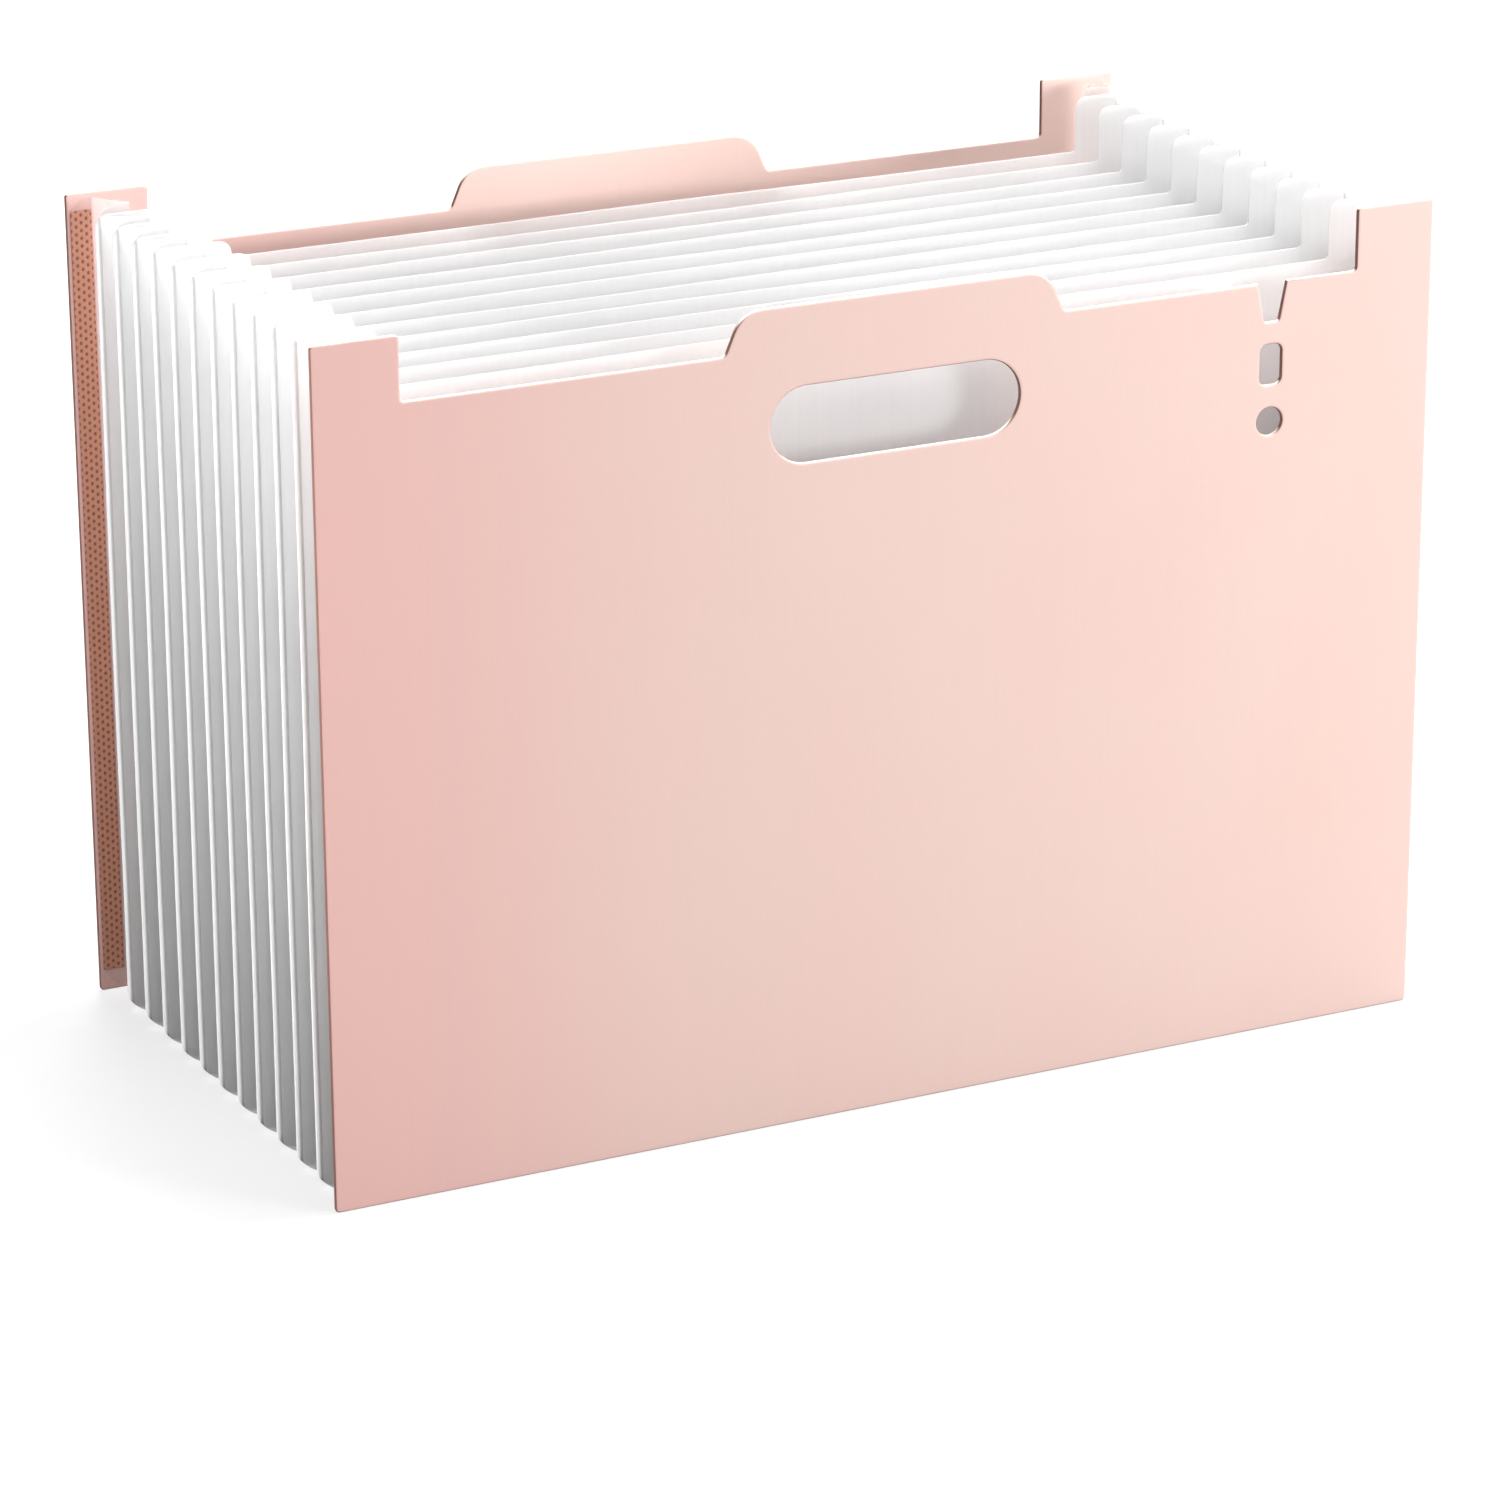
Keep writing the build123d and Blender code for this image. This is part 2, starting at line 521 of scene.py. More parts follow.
@dataclass(frozen=True)
class WeldBandFinish:
    """Film pressed into the cover with a diamond pattern; its colour is darkened by painted shade, and
    darker still in its pits, a painted shade in the recesses.
    """

    name: str = "weld_band_knurled"
    # Painted shade: both band colours are darkened for the shade on the cover's inner margin, the pit
    # colour more.
    shaded_ridge: Colour = from_srgb(220, 155, 129)
    pit: Colour = from_srgb(146, 83, 59)
    knurl: Knurl = Knurl()
    cloud_grains: Triple = (60, 60, 30)
    frost_grains: Triple = (1800, 1800, 1800)
    pit_shade_share: float = 0.9
    tone_shares: Span = (0.08, 0.08)
    roughness: float = 0.4
    rough_shares: Span = (0.2, 0.15)
    relief: float = 0.02 * MM

    def make(self) -> bpy.types.Material:
        """Build the material.

        Returns:
            The material of the welded margins.
        """
        material, sheet = new_material(self.name)
        place = sheet.place()
        across, _, level = sheet.axes(place)
        column, row = self.knurl.angles(across, level)
        wave = column.cosine() * row.cosine() + (column * 2).cosine() * self.knurl.second_share
        pits = wave.eased(*self.knurl.pit_levels)
        frost = sheet.noise(place, self.frost_grains)
        cloud = sheet.noise(place, self.cloud_grains)
        # Painted shade: darker in the knurl's pits.
        colour = sheet.mix(pits * self.pit_shade_share, self.shaded_ridge, self.pit)
        shader = sheet.node("ShaderNodeBsdfPrincipled", None, {
            "Base Color": sheet.scaled(colour, weighed(1.0, self.tone_shares, frost, cloud)),
            "Roughness": weighed(self.roughness, self.rough_shares, frost, pits),
            "Normal": sheet.bump(frost + MIDDLE, self.relief),
        })
        sheet.finish(shader)
        return material


@dataclass(frozen=True)
class StudioFloorFinish:
    """White paper floor, whose own light keeps the shadow on it soft."""

    name: str = "studio_floor_paper"
    fibre: Colour = (0.37, 0.37, 0.37)
    valley: Colour = (0.35, 0.35, 0.35)
    bounce: Colour = (0.16, 0.16, 0.16)
    near_light: Colour = (0.66, 0.66, 0.66)
    far_light: Colour = (1.0, 1.0, 1.0)
    light_span: Span = (0.35, 1.1)
    fibre_grains: Triple = (300, 300, 300)

    def make(self) -> bpy.types.Material:
        """Build the material.

        Returns:
            The floor's material.
        """
        material, sheet = new_material(self.name)
        seen = sheet.seen_rays()
        place = sheet.place()
        fibre = sheet.noise(place, self.fibre_grains)
        away = sheet.node("ShaderNodeVectorMath", {"operation": "LENGTH"}, {0: place}, "Value")
        shown = sheet.node("ShaderNodeBsdfPrincipled", None, {
            "Base Color": sheet.mix(fibre + MIDDLE, self.valley, self.fibre),
            "Roughness": 1.0,
            "Specular IOR Level": 0.0,
            "Emission Color": sheet.mix(away.eased(*self.light_span), self.near_light, self.far_light),
            "Emission Strength": 1.0,
        })
        dull = sheet.node("ShaderNodeBsdfDiffuse", None, {"Color": (*self.bounce, 1.0)})
        sheet.finish(sheet.node("ShaderNodeMixShader", None, {0: seen, 1: dull, 2: shown}))
        return material


# Mesh building


def make_piece(name: str, vertices: list[Triple], faces: Faces) -> bpy.types.Object:
    """Make a smooth-shaded piece whose corners stay crisp.

    Args:
        name: the piece's name.
        vertices: its points in metres.
        faces: its faces, as lists of point numbers.

    Returns:
        The new object, linked to the scene.
    """
    mesh = bpy.data.meshes.new(name)
    mesh.from_pydata(vertices, [], faces)
    return link_mesh(name, mesh)


def link_mesh(name: str, mesh: bpy.types.Mesh) -> bpy.types.Object:
    """Set a mesh's shading and put it in the scene.

    Args:
        name: the piece's name.
        mesh: its finished mesh.

    Returns:
        The new object.
    """
    mesh.validate()
    mesh.shade_smooth()
    mesh.set_sharp_from_angle(angle=SHARP_TURN)
    piece = bpy.data.objects.new(name, mesh)
    bpy.context.scene.collection.objects.link(piece)
    return piece


def slab(name: str, plan: Ring, faces: Faces, front: DepthMap, back: DepthMap) -> bpy.types.Object:
    """Make a closed sheet from its flat plan.

    Args:
        name: the piece's name.
        plan: points of the plan, across and up.
        faces: faces of the plan, as lists of point numbers.
        front: depth of the front skin at a point.
        back: depth of the back skin at a point.

    Returns:
        The new object.
    """
    count = len(plan)
    vertices = [(x, front(x, z), z) for x, z in plan] + [(x, back(x, z), z) for x, z in plan]
    used: dict[tuple[int, int], int] = {}
    for face in faces:
        for first, second in zip(face, face[1:] + face[:1]):
            key = (min(first, second), max(first, second))
            used[key] = used.get(key, 0) + 1
    rims = [
        [second, first, first + count, second + count]
        for face in faces
        for first, second in zip(face, face[1:] + face[:1])
        if used[(min(first, second), max(first, second))] == 1
    ]
    backs = [[corner + count for corner in reversed(face)] for face in faces]
    return make_piece(name, vertices, faces + backs + rims)


def grid_faces(columns: int, rows: int) -> Faces:
    """Number the faces of a grid whose points run up one column after the other."""
    starts = (column * (rows + 1) + row for column in range(columns) for row in range(rows))
    return [[start, start + rows + 1, start + rows + 2, start + 1] for start in starts]


def mitre(before: Vector, after: Vector, least_cosine: float) -> Vector:
    """Point to the left of a corner, to where the lines one unit beside both its sides meet.

    Args:
        before: the side that comes to the corner.
        after: the side that leaves it.
        least_cosine: keeps the sharpest corners from running away.

    Returns:
        The way from the corner.
    """
    first, second = (Vector((-side.y, side.x)).normalized() for side in (before, after))
    middle = (first + second).normalized()
    return middle / max(least_cosine, middle.dot(first))


def rounded_ring(corners: list[Triple], step: float = math.radians(9)) -> Ring:
    """Round the corners of a closed outline.

    Args:
        corners: each corner's place across and up, and its radius.
        step: the turn between two points of a rounding.

    Returns:
        The points of the rounded outline.
    """
    ring: Ring = []
    for number, (across, level, radius) in enumerate(corners):
        here = Vector((across, level))
        before = (Vector(corners[number - 1][:2]) - here).normalized()
        after = (Vector(corners[(number + 1) % len(corners)][:2]) - here).normalized()
        if radius <= 0:
            ring.append((across, level))
            continue
        half = before.angle(after) / 2
        centre = here + (before + after).normalized() * (radius / math.sin(half))
        start = here + before * (radius / math.tan(half)) - centre
        sweep = math.pi - 2 * half
        turn = sweep if before.cross(after) < 0 else -sweep
        parts = max(2, round(sweep / step))
        turns = (turn * part / parts for part in range(parts + 1))
        ring += [tuple(centre + Matrix.Rotation(angle, 2) @ start) for angle in turns]
    return ring


def drop_repeats(ring: Ring, nearest: float = 0.02 * MM) -> Ring:
    """Leave out points that lie on their neighbour.

    Args:
        ring: points of a closed outline.
        nearest: how close two points may lie.

    Returns:
        The outline with each place once.
    """
    return [
        point for number, point in enumerate(ring)
        if (Vector(point) - Vector(ring[number - 1])).length > nearest
    ]


def inset_ring(ring: Ring, inset: float, least_cosine: float = 0.3) -> Ring:
    """Move an outline to its left by a distance, with its corners kept sharp.

    Args:
        ring: points of a closed outline, with the sheet on its left.
        inset: how far to move.
        least_cosine: keeps the sharpest corners from running away.

    Returns:
        The moved outline.
    """
    moved: Ring = []
    for number, point in enumerate(ring):
        here = Vector(point)
        before = here - Vector(ring[number - 1])
        after = Vector(ring[(number + 1) % len(ring)]) - here
        moved.append(tuple(here + mitre(before, after, least_cosine) * inset))
    return moved


# The folder


@dataclass(frozen=True)
class FolderSizes:
    """Sizes of the folder in metres, as its solids have them."""

    cover_width: float = 330 * MM
    cover_height: float = 235 * MM
    cover_thickness: float = 1.5 * MM
    cover_corner: float = 1.2 * MM
    ear_width: float = 24 * MM
    ear_height: float = 17.5 * MM
    tab_base: float = 100 * MM
    tab_run: float = 5 * MM
    tab_height: float = 11.5 * MM
    tab_shoulder: float = 9 * MM
    tab_root: float = 2 * MM
    slot_length: float = 74 * MM
    slot_height: float = 21 * MM
    slot_drop: float = 21 * MM
    pen_offset: float = 114.5 * MM
    notch_mouth: float = 9 * MM
    notch_floor: float = 4.5 * MM
    notch_depth: float = 11 * MM
    notch_corner: float = 0.8 * MM
    pen_slot_width: float = 6.8 * MM
    pen_slot_height: float = 11.5 * MM
    pen_slot_corner: float = 2.2 * MM
    pen_slot_drop: float = 23 * MM
    pen_hole_radius: float = 4 * MM
    pen_hole_drop: float = 39 * MM
    pocket_count: int = 12
    pocket_pitch: float = 14.1 * MM
    rear_pitch: float = 21 * MM
    divider_thickness: float = 0.4 * MM
    divider_inset: float = 1 * MM
    divider_lift: float = 1.5 * MM
    divider_drop: float = 1.5 * MM
    divider_foot: float = 5 * MM
    divider_crown: float = 3.5 * MM
    film_thickness: float = 0.25 * MM
    fold_depth: float = 13.5 * MM
    fold_width: float = 0.8 * MM
    divider_weld: float = 1.5 * MM
    cover_weld: float = 6.5 * MM
    divider_bow: float = 0.125
    cover_bow: float = 0.05
    floor_clearance: float = 0.5 * MM

    @property
    def rim(self) -> float:
        """Level of the low rim between the ears."""
        return self.cover_height - self.ear_height

    @property
    def ear_edge(self) -> float:
        """Distance of an ear's inner edge from the middle."""
        return self.cover_width / 2 - self.ear_width

    @property
    def film_edge(self) -> float:
        """Distance of the films' outer edge from the middle."""
        return self.cover_width / 2 - self.divider_inset

    @property
    def film_top(self) -> float:
        """Level of the top of the dividers' ears."""
        return self.cover_height - self.divider_drop

    @property
    def floor_half(self) -> float:
        """Half the length of a floor film."""
        return self.film_edge - self.fold_depth - self.film_thickness / 2 - self.floor_clearance

    def wall_depths(self) -> list[float]:
        """Give every wall's mid-plane depth.

        Returns:
            The depths, front cover first and rear cover last.
        """
        pitches = [self.pocket_pitch] * (self.pocket_count - 1) + [self.rear_pitch]
        depths = [-sum(pitches) / 2]
        for pitch in pitches:
            depths.append(depths[-1] + pitch)
        return depths

    def wall_half(self, wall: int) -> float:
        """Half the thickness of a wall; the first and last are covers."""
        cover = wall in (0, self.pocket_count)
        return (self.cover_thickness if cover else self.divider_thickness) / 2

    def body(self, wall: int) -> str:
        """Name of the body that a wall moves with."""
        covers = {0: "front_cover", self.pocket_count: "rear_cover"}
        return covers.get(wall, f"divider_{wall:02d}")

    def corner_cut(self, inward: float, radius: float) -> float:
        """How far a rounded corner cuts a sheet back at a distance from its edge."""
        rest = radius - min(radius, max(0.0, inward))
        return radius - math.sqrt(radius * radius - rest * rest)


@dataclass(frozen=True)
class SheetWaves:
    """The slight waves of the walls, largest along the free rim; covers are stiff and have none."""

    sizes: FolderSizes
    rim_height: float = 0.62 * MM
    ripple_height: float = 0.22 * MM
    edge_height: float = 0.24 * MM
    rim_wave: float = 0.27
    ripple_wave: float = 0.11
    edge_wave: float = 0.19
    rim_power: float = 1.5
    ripple_phase: float = 1.7
    edge_phase: float = 2.3
    foot_span: Span = (0.0, 0.04)
    side_span: Span = (0.45, 1.0)

    def offset(self, wall: int, across: float, level: float) -> float:
        """Give a wall's wave at a place.

        Args:
            wall: number of the wall from the front.
            across: place across the folder.
            level: place above the floor.

        Returns:
            How far the wall stands back from its mid-plane.
        """
        if wall in (0, self.sizes.pocket_count):
            return 0.0
        phase = wall * PHASE_STEP
        free = ease(0.0, self.sizes.rim, level) ** self.rim_power
        middle = 1 - ease(*self.side_span, abs(across) / self.sizes.film_edge)
        broad = math.sin(math.tau * across / self.rim_wave + phase)
        ripple = math.sin(math.tau * across / self.ripple_wave + self.ripple_phase * phase)
        edge = math.sin(math.tau * level / self.edge_wave + self.edge_phase * phase)
        swing = free * middle * (broad * self.rim_height + ripple * self.ripple_height)
        return swing + edge * self.edge_height * ease(*self.foot_span, level)


@dataclass
class CoverPlate:
    """One stiff cover: ears, index tab, hand slot and, in front, the pen holder's cut-outs."""

    sizes: FolderSizes
    node: str
    depth: float
    holds_pen: bool
    edge_round: float = 0.5 * MM
    round_steps: int = 4
    flat_margin: float = 0.5 * MM
    hole_step: float = math.radians(7.5)

    def outline(self) -> Ring:
        """Draw the cover's outer edge, counter-clockwise from the front.

        Returns:
            The points of the edge.
        """
        s = self.sizes
        half, top = s.cover_width / 2, s.cover_height
        base = s.tab_base / 2
        shoulder = (base - s.tab_run, s.rim + s.tab_height, s.tab_shoulder)
        right = [(half, 0.0, s.cover_corner), (half, top, s.cover_corner)]
        right += [(s.ear_edge, top, s.cover_corner), (s.ear_edge, s.rim, s.cover_corner)]
        left = [(-across, level, radius) for across, level, radius in reversed(right)]
        if self.holds_pen:
            mouth, floor, bottom = s.notch_mouth / 2, s.notch_floor / 2, s.rim - s.notch_depth
            right += [
                (s.pen_offset + mouth, s.rim, 0.0),
                (s.pen_offset + floor, bottom, s.notch_corner),
                (s.pen_offset - floor, bottom, s.notch_corner),
                (s.pen_offset - mouth, s.rim, 0.0),
            ]
        tab = [(base, s.rim, s.tab_root), shoulder]
        tab += [(-shoulder[0], *shoulder[1:]), (-base, s.rim, s.tab_root)]
        return drop_repeats(rounded_ring(right + tab + left))

    def holes(self) -> list[Ring]:
        """Draw the edges of the openings, clockwise from the front.

        Returns:
            One list of points for each opening.
        """
        s = self.sizes
        boxes = [(0.0, s.rim - s.slot_drop, s.slot_length, s.slot_height, s.slot_height / 2)]
        if self.holds_pen:
            hole = 2 * s.pen_hole_radius
            slot = (s.pen_slot_width, s.pen_slot_height, s.pen_slot_corner)
            boxes += [
                (s.pen_offset, s.rim - s.pen_slot_drop, *slot),
                (s.pen_offset, s.rim - s.pen_hole_drop, hole, hole, s.pen_hole_radius),
            ]
        rings = []
        for across, level, width, height, radius in boxes:
            corners = [(-1, -1), (-1, 1), (1, 1), (1, -1)]
            ring = [(across + a * width / 2, level + b * height / 2, radius) for a, b in corners]
            rings.append(drop_repeats(rounded_ring(ring, self.hole_step)))
        return rings

    def profile(self) -> Ring:
        """Give the edge's section from the front face round to the back face.

        Returns:
            How far each ring stands in from the edge, and its depth from the mid-plane.
        """
        half = self.sizes.cover_thickness / 2
        front = [(self.edge_round + self.flat_margin, -half)]
        for step in range(self.round_steps + 1):
            angle = math.pi / 2 * step / self.round_steps
            inset = self.edge_round * (1 - math.sin(angle))
            front.append((inset, -half + self.edge_round * (1 - math.cos(angle))))
        return front + [(inset, -depth) for inset, depth in reversed(front)]

    def build(self) -> bpy.types.Object:
        """Build the plate from rings round each edge and a flat fill on both faces.

        Returns:
            The cover's object.
        """
        work = bmesh.new()
        rims: tuple[list, list] = ([], [])
        for ring in [self.outline(), *self.holes()]:
            loops = [
                [work.verts.new((x, self.depth + depth, z)) for x, z in inset_ring(ring, inset)]
                for inset, depth in self.profile()
            ]
            for near, far in zip(loops, loops[1:]):
                for number in range(len(near)):
                    after = (number + 1) % len(near)
                    work.faces.new((near[number], near[after], far[after], far[number]))
            for side, loop in zip(rims, (loops[0], loops[-1])):
                side += [work.edges.get((loop[n - 1], loop[n])) for n in range(len(loop))]
        for side, facing in zip(rims, (-1.0, 1.0)):
            bmesh.ops.triangle_fill(work, use_beauty=True, edges=side, normal=(0.0, facing, 0.0))
        bmesh.ops.recalc_face_normals(work, faces=work.faces)
        mesh = bpy.data.meshes.new(f"{self.node}_sheet")
        work.to_mesh(mesh)
        work.free()
        return link_mesh(f"{self.node}_sheet", mesh)

    def dress(self, piece: bpy.types.Object, finish: bpy.types.Material) -> None:
        """Give the plate its finish and its place on the folder.

        Args:
            piece: what build made.
            finish: its material.
        """
        piece.data.materials.append(finish)
        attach(piece, self.node)
        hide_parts(self.node)


@dataclass
class Divider:
    """One milky divider with an ear at each end and a slightly wavy rim."""

    sizes: FolderSizes
    waves: SheetWaves
    wall: int
    rows: int = 26
    ear_rows: int = 10
    middle_columns: int = 56
    root_steps: int = 4
    crown_turns: tuple[int, ...] = (0, 22, 40, 55, 68, 80, 90)
    foot_turns: tuple[int, ...] = (90, 75, 55)
    ear_columns: Span = (8 * MM, 12 * MM)
    least_step: float = 0.1 * MM

    def columns(self) -> tuple[list[float], list[float]]:
        """Choose where the sheet's columns lie, closest together at its corners.

        Returns:
            Columns of the right ear, from its inner edge out, and columns of the low middle.
        """
        s = self.sizes
        inner, outer = s.ear_edge, s.film_edge
        crown = [s.divider_crown * (1 - math.cos(math.radians(turn))) for turn in self.crown_turns]
        foot = [s.divider_foot * (1 - math.cos(math.radians(turn))) for turn in self.foot_turns]
        ear = [inner + c for c in (*crown, *self.ear_columns)]
        ear += [outer - c for c in foot]
        ear += [outer - c for c in crown if c < foot[-1] - self.least_step]
        edge = inner - s.cover_corner
        middle = [edge * (2 * n / self.middle_columns - 1) for n in range(self.middle_columns + 1)]
        return sorted(ear), middle

    def build(self) -> bpy.types.Object:
        """Build the sheet from upright columns, its ears standing on the same columns.

        Returns:
            The divider's object.
        """
        s = self.sizes
        ear, middle = self.columns()
        across = [-x for x in reversed(ear)] + middle + ear
        plan: Ring = []
        for x in across:
            low = s.divider_lift + s.corner_cut(s.film_edge - abs(x), s.divider_foot)
            plan += [(x, low + (s.rim - low) * row / self.rows) for row in range(self.rows + 1)]
        faces = grid_faces(len(across) - 1, self.rows)
        for numbers in (range(len(ear)), range(len(across) - len(ear), len(across))):
            faces += self.ear(plan, across, list(numbers))
        depth = s.wall_depths()[self.wall]
        half = s.divider_thickness / 2
        return slab(
            f"divider_sheet_{self.wall:02d}", plan, faces,
            lambda x, z: depth - half + self.waves.offset(self.wall, x, z),
            lambda x, z: depth + half + self.waves.offset(self.wall, x, z),
        )

    def ear(self, plan: Ring, across: list[float], numbers: list[int]) -> Faces:
        """Add one ear on top of the sheet's columns.

        Args:
            plan: the sheet's points, which the ear's are added to.
            across: where the columns lie.
            numbers: the columns that the ear stands on.

        Returns:
            The ear's faces, with the small rounding at its root.
        """
        s = self.sizes
        tall = self.rows + 1
        stacks = []
        for number in numbers:
            x = across[number]
            top = s.film_top - s.corner_cut(s.film_edge - abs(x), s.divider_crown)
            top -= s.corner_cut(abs(x) - s.ear_edge, s.divider_crown)
            stack = [number * tall + self.rows]
            for row in range(1, self.ear_rows + 1):
                stack.append(len(plan))
                plan.append((x, s.rim + (top - s.rim) * row / self.ear_rows))
            stacks.append(stack)
        faces = []
        for left, right in zip(stacks, stacks[1:]):
            for row in range(self.ear_rows):
                faces.append([left[row], right[row], right[row + 1], left[row + 1]])
        rightwards = across[numbers[0]] > 0
        inner = stacks[0] if rightwards else stacks[-1]
        beside = (numbers[0] - 1 if rightwards else numbers[-1] + 1) * tall + self.rows
        faces += self.root_rounding(plan, inner, beside, rightwards)
        return faces

    def root_rounding(self, plan: Ring, inner: list[int], beside: int, rightwards: bool) -> Faces:
        """Fill the corner between the rim and an ear's inner edge with a small rounding.

        Args:
            plan: the sheet's points.
            inner: points up the ear's inner edge.
            beside: the rim's next point.
            rightwards: whether the ear is the right one.

        Returns:
            The faces of the rounding.
        """
        corner, upper, low = plan[inner[0]], plan[inner[1]], plan[beside]
        arc = [beside]
        for part in range(1, self.root_steps):
            angle = math.pi / 2 * part / self.root_steps
            arc.append(len(plan))
            plan.append((
                low[0] + (corner[0] - low[0]) * math.sin(angle),
                upper[1] - (upper[1] - corner[1]) * math.cos(angle),
            ))
        arc.append(inner[1])
        fans = [[inner[0], second, first] for first, second in zip(arc, arc[1:])]
        return fans if rightwards else [list(reversed(fan)) for fan in fans]

    def dress(self, piece: bpy.types.Object, finish: bpy.types.Material) -> None:
        """Give the divider its finish and its place on the folder.

        Args:
            piece: what build made.
            finish: its material.
        """
        piece.data.materials.append(finish)
        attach(piece, self.sizes.body(self.wall))
        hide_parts(self.sizes.body(self.wall))


@dataclass
class FoldedFilm:
    """The folded film along one side or the floor of a pocket, welded to both its walls."""

    sizes: FolderSizes
    waves: SheetWaves
    pocket: int
    run: FilmRun
    panel_steps: int = 12
    fold_steps: int = 4
    side_rows: int = 30
    floor_rows: int = 24
    seat_gap: float = 0.01 * MM
    sway: float = 0.3 * MM
    sway_wave: float = 0.17
    sway_phase: float = 1.3
    weld_middle: float = 0.6
    fold_rounding: float = 0.15
    least_cosine: float = 0.6
    grip: float = 0.3 * MM
    rear_grip: float = -0.8 * MM
    fuse_start: float = 0.4 * MM
    front_fuse: float = 5 * MM
    rear_fuse: float = 30 * MM
    name: str = field(init=False)

    def __post_init__(self) -> None:
        """Name the film for its run and pocket."""
        self.name = f"{self.run.value}_{self.pocket:02d}"

    def faces_of_walls(self) -> tuple[float, float]:
        """Give the depths of the wall faces that the pocket lies between."""
        depths, half = self.sizes.wall_depths(), self.sizes.wall_half
        return depths[self.pocket - 1] + half(self.pocket - 1), depths[self.pocket] - half(self.pocket)

    def bowed(self, start: Vector, end: Vector, share: float) -> list[Vector]:
        """Draw one panel as an arc that bows outwards.

        Args:
            start: where it starts.
            end: where it ends.
            share: its rise as a share of its length.

        Returns:
            Its points between the two ends.
        """
        chord = end - start
        rise = chord.length * share
        outwards = Vector((-chord.y, chord.x)).normalized()
        radius = (chord.length_squared / 4 + rise * rise) / (2 * rise)
        centre = (start + end) / 2 + outwards * (rise - radius)
        sweep = 2 * math.asin(chord.length / 2 / radius)
        turns = (-sweep * step / self.panel_steps for step in range(1, self.panel_steps))
        return [centre + Matrix.Rotation(turn, 2) @ (start - centre) for turn in turns]

    def middle_line(self) -> list[Vector]:
        """Draw the film's middle line from the front wall to the rear one.

        Returns:
            Points as depth inwards from the outer edge, and distance from the front wall.
        """
        s = self.sizes
        front, rear = self.faces_of_walls()
        gap = rear - front
        skin = s.film_thickness / 2 + self.seat_gap
        first, last = self.pocket == 1, self.pocket == s.pocket_count
        front_weld = s.cover_weld if first else s.divider_weld
        rear_weld = s.cover_weld if last else s.divider_weld
        half_fold = s.fold_width / 2
        front_crease, rear_crease = Vector((front_weld, skin)), Vector((rear_weld, gap - skin))
        front_fold = Vector((s.fold_depth, gap / 2 - half_fold))
        rear_fold = Vector((s.fold_depth, gap / 2 + half_fold))
        line = [Vector((0.0, skin)), Vector((front_weld * self.weld_middle, skin)), front_crease]
        line += self.bowed(front_crease, front_fold, s.cover_bow if first else s.divider_bow)
        for step in range(self.fold_steps + 1):
            angle = math.pi * step / self.fold_steps
            rounding = math.sin(angle) * self.fold_rounding * half_fold
            line.append(Vector((s.fold_depth + rounding, gap / 2 - half_fold * math.cos(angle))))
        line += self.bowed(rear_fold, rear_crease, s.cover_bow if last else s.divider_bow)
        rear_edge = [Vector((rear_weld * share, gap - skin)) for share in (self.weld_middle, 0.0)]
        return [*line, rear_crease, *rear_edge]

    def section(self) -> Ring:
        """Give the film's closed section, one skin out and the other back.

        Returns:
            Points as depth inwards and distance from the front wall.
        """
        line = self.middle_line()
        half = self.sizes.film_thickness / 2
        skins: tuple[Ring, Ring] = ([], [])
        for number, point in enumerate(line):
            before = point - line[number - 1] if number else line[1] - line[0]
            after = line[number + 1] - point if number + 1 < len(line) else before
            reach = mitre(before, after, self.least_cosine) * half
            skins[0].append(tuple(point + reach))
            skins[1].append(tuple(point - reach))
        return skins[0] + list(reversed(skins[1]))

    def place(self, inward: float, distance: float, along: float) -> Triple:
        """Place one point of the film in the folder.

        Args:
            inward: depth from the outer edge.
            distance: distance from the front wall.
            along: share of the film's length.

        Returns:
            The point in metres.
        """
        s = self.sizes
        front, rear = self.faces_of_walls()
        share = distance / (rear - front)
        if self.run is FilmRun.FLOOR:
            across = (2 * along - 1) * s.floor_half
            level = s.divider_lift + inward
            swing = across
        else:
            low = s.divider_lift + s.corner_cut(inward, s.divider_foot)
            top = s.film_top - s.corner_cut(inward, s.divider_crown)
            level = low + (top - low) * along
            swing = level
            across = inward - s.film_edge if self.run is FilmRun.LEFT else s.film_edge - inward
        between = math.sin(math.pi * min(1.0, max(0.0, share))) ** 2
        depth = front + distance
        depth += (1 - share) * self.waves.offset(self.pocket - 1, across, level)
        depth += share * self.waves.offset(self.pocket, across, level)
        phase = self.pocket * PHASE_STEP + list(FilmRun).index(self.run) * self.sway_phase
        sway = self.sway * between * math.sin(math.tau * swing / self.sway_wave + phase)
        if self.run is FilmRun.FLOOR:
            return across, depth, level + sway
        return across + (sway if self.run is FilmRun.LEFT else -sway), depth, level

    def build(self) -> bpy.types.Object:
        """Build the closed film along its run.

        Returns:
            The film's object.
        """
        section = self.section()
        rows = self.floor_rows if self.run is FilmRun.FLOOR else self.side_rows
        count, half = len(section), len(section) // 2
        vertices = [self.place(*point, row / rows) for row in range(rows + 1) for point in section]
        faces = []
        for row in range(rows):
            for number in range(count):
                after = (number + 1) % count
                low, high = row * count, (row + 1) * count
                faces.append([low + number, low + after, high + after, high + number])
        for start, turned in ((0, True), (rows * count, False)):
            for number in range(half - 1):
                near, far = start + number, start + count - 1 - number
                cap = [near, near + 1, far - 1, far]
                faces.append(list(reversed(cap)) if turned else cap)
        if self.run is FilmRun.LEFT:
            faces = [list(reversed(face)) for face in faces]
        piece = make_piece(f"{self.name}_film", vertices, faces)
        fused = piece.data.attributes.new(FUSED, "FLOAT", "POINT")
        shares = [self.fused(distance) for _, distance in section]
        fused.data.foreach_set("value", shares * (rows + 1))
        return piece

